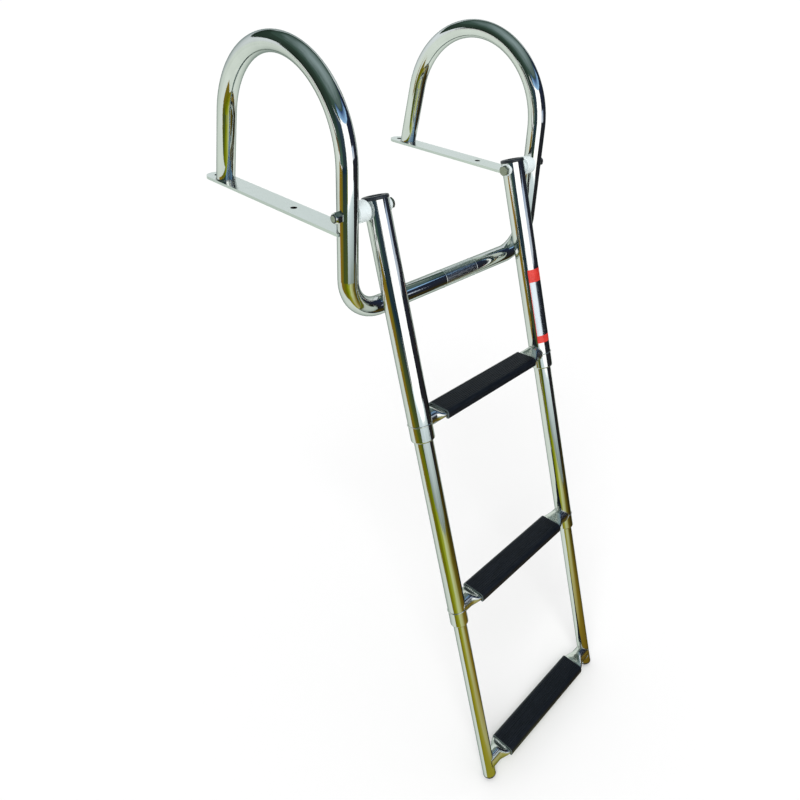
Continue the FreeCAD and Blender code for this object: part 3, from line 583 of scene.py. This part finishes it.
# Studio: a pale floor, a soft sun and an even sky. The sky is white to the camera and in the metal.
FLOOR_GAP = 0.0005
FLOOR_Z = min(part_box(f"foot_plug_{side}")[0].z for side in SIDES) - FLOOR_GAP
FLOOR_HALF = 40.0
FLOOR_TONE = (0.88, 0.88, 0.88, 1)
FLOOR_GLOW = 0.03
SKY_LIGHT = 0.8
SKY_SEEN = 1.0
SUN_STRENGTH = 1.3
SUN_WIDTH = radians(35)
SUN_TURN = (radians(38), 0, radians(-62))


def flat_object(name, points, faces=None):
    """Object made of the faces, or of one face through all the points."""
    mesh = bpy.data.meshes.new(name)
    mesh.from_pydata(points, [], faces or [tuple(range(len(points)))])
    obj = bpy.data.objects.new(name, mesh)
    bpy.context.scene.collection.objects.link(obj)
    return obj


def square(half, z):
    return [(-half, -half, z), (half, -half, z), (half, half, z), (-half, half, z)]


def seen_directly(tree):
    """1 for camera, glossy and transmission rays, 0 for the light that falls on things."""
    path = add(tree, "ShaderNodeLightPath")
    seen = path.outputs["Is Camera Ray"]
    for kind in ("Is Glossy Ray", "Is Transmission Ray"):
        seen = maths(tree, "MAXIMUM", seen, path.outputs[kind])
    return seen


def floor_paint():
    made, tree, shader = material("floor_paint")
    shader.inputs["Base Color"].default_value = FLOOR_TONE
    shader.inputs["Roughness"].default_value = 0.9
    shader.inputs["Specular IOR Level"].default_value = 0.0
    glow = add(tree, "ShaderNodeEmission")
    tree.links.new(ranged(tree, seen_directly(tree), 0.0, FLOOR_GLOW), glow.inputs["Strength"])
    both = add(tree, "ShaderNodeAddShader")
    tree.links.new(shader.outputs["BSDF"], both.inputs[0])
    tree.links.new(glow.outputs["Emission"], both.inputs[1])
    tree.links.new(both.outputs["Shader"], tree.nodes["Material Output"].inputs["Surface"])
    return made


floor = flat_object("studio_floor", square(FLOOR_HALF, FLOOR_Z))
floor.data.materials.append(floor_paint())

world = bpy.data.worlds.new("studio_sky")
bpy.context.scene.world = world
world.use_nodes = True
sky = world.node_tree
background = sky.nodes["Background"]
background.inputs["Color"].default_value = (1, 1, 1, 1)
sky.links.new(ranged(sky, seen_directly(sky), SKY_LIGHT, SKY_SEEN), background.inputs["Strength"])

sun = bpy.data.lights.new("soft_sun", "SUN")
sun.energy = SUN_STRENGTH
sun.angle = SUN_WIDTH
sun_object = bpy.data.objects.new("soft_sun", sun)
sun_object.rotation_euler = SUN_TURN
sun_object.visible_glossy = False
bpy.context.scene.collection.objects.link(sun_object)


# Room that the polished steel mirrors, and that shows in reflections only: a white lamp to the right of the
# camera, a low hedge, dark curtains and a fence to its left, a dark wall on the right, pale walls behind the
# ladder, a pale table behind the deck plates, a dark ceiling, and a ground of ochre and green in front of the
# pale sheet under the ladder.
# Bearings are in degrees around the ladder, from 0 towards the camera, and grow anticlockwise from above.
STUDIO_CENTRE = Vector((MID_X, -0.25, 0))
TOWARDS_CAMERA = Vector((-0.7305, -0.6829, 0))
TO_THE_RIGHT = Vector((0.6829, -0.7305, 0))
FACET_DEGREES = 3
FOOT_Z = -0.8
HEDGE_Z = -0.22
LAMP_Z = 0.8
CEILING_Z = 2.6
CEILING_R = 3.0
WHITE_LIGHT = (1.6, 1.6, 1.6)


def studio_point(bearing, distance, z):
    angle = radians(bearing)
    flat = distance * (cos(angle) * TOWARDS_CAMERA + sin(angle) * TO_THE_RIGHT)
    return STUDIO_CENTRE + flat + Vector((0, 0, z))


def mirrored_card(name, points, colour_from, faces=None):
    """A glowing card that only reflections see. colour_from makes its colour's output in a node tree."""
    card = flat_object(name, points, faces)
    paint = bpy.data.materials.new(name)
    paint.use_nodes = True
    tree = paint.node_tree
    tree.nodes.remove(tree.nodes["Principled BSDF"])
    glow = add(tree, "ShaderNodeEmission")
    tree.links.new(colour_from(tree), glow.inputs["Color"])
    tree.links.new(glow.outputs["Emission"], tree.nodes["Material Output"].inputs["Surface"])
    card.data.materials.append(paint)
    for kind in ("camera", "diffuse", "transmission", "volume_scatter", "shadow"):
        setattr(card, f"visible_{kind}", False)


def blotchy(tree, scale, amount):
    """Soft uneven share between plus and minus the amount."""
    return ranged(tree, noise(tree, object_coordinates(tree, scale), detail=3), -amount, amount, 0.3, 0.7)


def coloured_by_height(low, high, z_low, z_high, uneven):
    def make(tree):
        split = add(tree, "ShaderNodeSeparateXYZ")
        tree.links.new(object_coordinates(tree), split.inputs["Vector"])
        rise = ranged(tree, split.outputs["Z"], 0, 1, z_low, z_high)
        share = maths(tree, "ADD", rise, blotchy(tree, (7, 7, 1.5), uneven))
        return tinted(tree, share, low, high, 0.0, 1.0)
    return make


def wall(name, bearings, distance, heights, low, high, uneven=0.2):
    """Upright card, coloured from low to high. Its heights are its bottom, its top at the first bearing and,
    where that differs, its top at the last one."""
    bottom, first_top = heights[:2]
    last_top = heights[-1]
    first, last = bearings
    steps = max(1, round((last - first) / FACET_DEGREES))
    points = []
    for k in range(steps + 1):
        bearing = first + (last - first) * k / steps
        points.append(studio_point(bearing, distance, bottom))
        points.append(studio_point(bearing, distance, first_top + (last_top - first_top) * k / steps))
    faces = [(2 * k, 2 * k + 2, 2 * k + 3, 2 * k + 1) for k in range(steps)]
    mirrored_card(name, points, coloured_by_height(low, high, bottom, first_top, uneven), faces)


wall("upper_wall", (-180, 180), 2.6, (1.4, CEILING_Z), (0.048, 0.085, 0.067), (0.063, 0.11, 0.09))
wall("left_wall", (-150, -30), 2.4, (0.05, 1.75), (0.018, 0.029, 0.020), (0.038, 0.067, 0.051))
wall("back_wall", (148, 210), 2.3, (FOOT_Z, 1.5), (0.77, 0.84, 0.77), (0.95, 1.0, 1.05), 0.1)
wall("pale_wall", (-150, -94), 2.3, (FOOT_Z, 1.15, 0.49), (0.72, 0.79, 0.72), (1.0, 1.05, 1.12), 0.1)
wall("hedge", (-46, -1), 1.5, (FOOT_Z, HEDGE_Z), (0.10, 0.13, 0.012), (0.012, 0.035, 0.058))
wall("teal_curtain", (-62, -34), 1.5, (HEDGE_Z, 0.55), (0.076, 0.15, 0.11), (0.018, 0.032, 0.029))
wall("dark_curtain", (-34, 0), 1.5, (HEDGE_Z, 0.8), (0.025, 0.044, 0.051), (0.038, 0.067, 0.10))
wall("fence", (-98, -56), 1.3, (-0.1, 0.03), (0.26, 0.15, 0.05), (0.12, 0.09, 0.05), 0.5)
wall("lamp_panel", (0, 62), 1.1, (-0.36, LAMP_Z), WHITE_LIGHT, WHITE_LIGHT, 0.0)
wall("lamp_side", (60, 90), 1.14, (-0.02, 0.24), (0.72, 0.77, 0.86), (0.42, 0.52, 0.72))
wall("lamp_top", (-6, 112), 1.15, (LAMP_Z, 1.2), (0.42, 0.72, 1.08), (0.025, 0.055, 0.19))
wall("lamp_foot", (-6, 70), 1.13, (-0.7, -0.34), (0.26, 0.32, 0.28), (0.92, 1.05, 1.10))
wall("right_wall", (62, 148), 1.5, (FOOT_Z, 1.4), (0.022, 0.020, 0.018), (0.018, 0.029, 0.067))


def ceiling_colour(tree):
    off_middle = distance_to(tree, object_coordinates(tree), STUDIO_CENTRE + Vector((0, 0, CEILING_Z)))
    outwards = ranged(tree, off_middle, 0, 1, 0, CEILING_R)
    share = maths(tree, "ADD", outwards, blotchy(tree, (1.5, 1.5, 1), 0.15))
    return tinted(tree, share, (0.32, 0.41, 0.42), (0.044, 0.085, 0.067), 0.0, 1.0)


# Ground colour by bearing: ochre on the left, yellow-green towards the camera, cream beside it, and dark
# ochre on the right. Close to the ladder some ochre is mixed in.
GROUND_BANDS = ((-80, (0.36, 0.19, 0.018)), (-50, (0.22, 0.17, 0.013)), (-25, (0.15, 0.17, 0.002)),
                (-8, (0.28, 0.33, 0.007)), (6, (0.42, 0.46, 0.063)), (20, (0.62, 0.70, 0.36)),
                (42, (0.49, 0.49, 0.21)), (58, (0.19, 0.15, 0.013)), (90, (0.05, 0.035, 0.006)),
                (150, (0.035, 0.029, 0.007)))
NEAR_OCHRE = (0.36, 0.23, 0.02)
NEAR_SHARE = 0.45
NEAR_REACH = (0.42, 0.8)


def ground_colour(tree):
    source = add(tree, "ShaderNodeTexCoord")
    placed = add(tree, "ShaderNodeMapping", vector_type="TEXTURE")
    placed.inputs["Location"].default_value = STUDIO_CENTRE
    placed.inputs["Rotation"].default_value = (0, 0, atan2(TOWARDS_CAMERA.y, TOWARDS_CAMERA.x))
    tree.links.new(source.outputs["Object"], placed.inputs["Vector"])
    bearing_share = add(tree, "ShaderNodeTexGradient", gradient_type="RADIAL")
    tree.links.new(placed.outputs["Vector"], bearing_share.inputs["Vector"])
    uneven = maths(tree, "ADD", bearing_share.outputs["Fac"], blotchy(tree, (7, 7, 7), 0.012))
    far = banded(tree, uneven, [(0.5 + bearing / 360, colour) for bearing, colour in GROUND_BANDS])
    off_middle = distance_to(tree, object_coordinates(tree), (*STUDIO_CENTRE.xy, FLOOR_Z))
    return blended(tree, ranged(tree, off_middle, NEAR_SHARE, 0.0, *NEAR_REACH), far, NEAR_OCHRE)


def plain_paper(tree):
    return tinted(tree, even_noise(tree, 3, detail=3), (0.80, 0.88, 0.80), (0.89, 0.96, 0.89))


# Level cards: the table's front edge has a notch behind each handrail, and the ground has two faces, which
# leave the sheet bare behind them.
TABLE_Z = -0.001
TABLE_FRONT_Y = 0.115
TABLE_BACK_Y = 3
NOTCH_Y = 0.22
NOTCHES = ((-0.035, 0.05), (0.32, 0.4))
SHEET_Z = FLOOR_Z + 0.001
SHEET_HALF = 3.5
GROUND_Z = FLOOR_Z + 0.002
GROUND_BACK_Y = -0.37
GROUND_BEND_X = -0.344

ceiling_edge = [studio_point(bearing, CEILING_R, CEILING_Z) for bearing in range(0, 360, 10)]
mirrored_card("ceiling", ceiling_edge, ceiling_colour)
table_edge = [(-0.538, TABLE_FRONT_Y)]
for start, end in NOTCHES:
    table_edge += [(start, TABLE_FRONT_Y), (start, NOTCH_Y), (end, NOTCH_Y), (end, TABLE_FRONT_Y)]
table_edge += [(0.95, TABLE_FRONT_Y), (0.95, TABLE_BACK_Y), (-0.85, TABLE_BACK_Y), (-0.85, 0.375)]
mirrored_card("table", [(x, y, TABLE_Z) for x, y in table_edge], plain_paper)
mirrored_card("sheet", square(SHEET_HALF, SHEET_Z), plain_paper)
ground_corners = ((-SHEET_HALF, 1.5), (-SHEET_HALF, -SHEET_HALF), (GROUND_BEND_X, -SHEET_HALF),
                  (GROUND_BEND_X, GROUND_BACK_Y), (-1.99, 1.5), (SHEET_HALF, -SHEET_HALF),
                  (SHEET_HALF, GROUND_BACK_Y))
mirrored_card("ground", [(x, y, GROUND_Z) for x, y in ground_corners], ground_colour,
              [(0, 1, 2, 3, 4), (3, 2, 5, 6)])


# Camera, fitted to the photograph. Its focal length and centre are in pixels of the photograph.
CAMERA_PLACE = Vector((-0.4737131, -0.6662469, 0.2904901))
CAMERA_RIGHT = Vector((0.698, -0.7149, 0.0417)).normalized()
CAMERA_FORWARD = Vector((0.6482, 0.6059, -0.4612)).normalized()
camera_up = CAMERA_RIGHT.cross(CAMERA_FORWARD).normalized()
PICTURE = 800
FOCAL_PIXELS = 679.34
CENTRE_PIXELS = (420.77, 306.69)
camera = bpy.data.cameras.new("camera")
camera.sensor_width = 36
camera.lens = FOCAL_PIXELS / PICTURE * camera.sensor_width
camera.shift_x = (PICTURE / 2 - CENTRE_PIXELS[0]) / PICTURE
camera.shift_y = (CENTRE_PIXELS[1] - PICTURE / 2) / PICTURE
camera.clip_start = 0.01
camera_object = bpy.data.objects.new("camera", camera)
facing = Matrix((CAMERA_RIGHT, camera_up, -CAMERA_FORWARD)).transposed().to_4x4()
camera_object.matrix_world = Matrix.Translation(CAMERA_PLACE) @ facing
bpy.context.scene.collection.objects.link(camera_object)
bpy.context.scene.camera = camera_object
bpy.context.scene.view_settings.view_transform = "Standard"
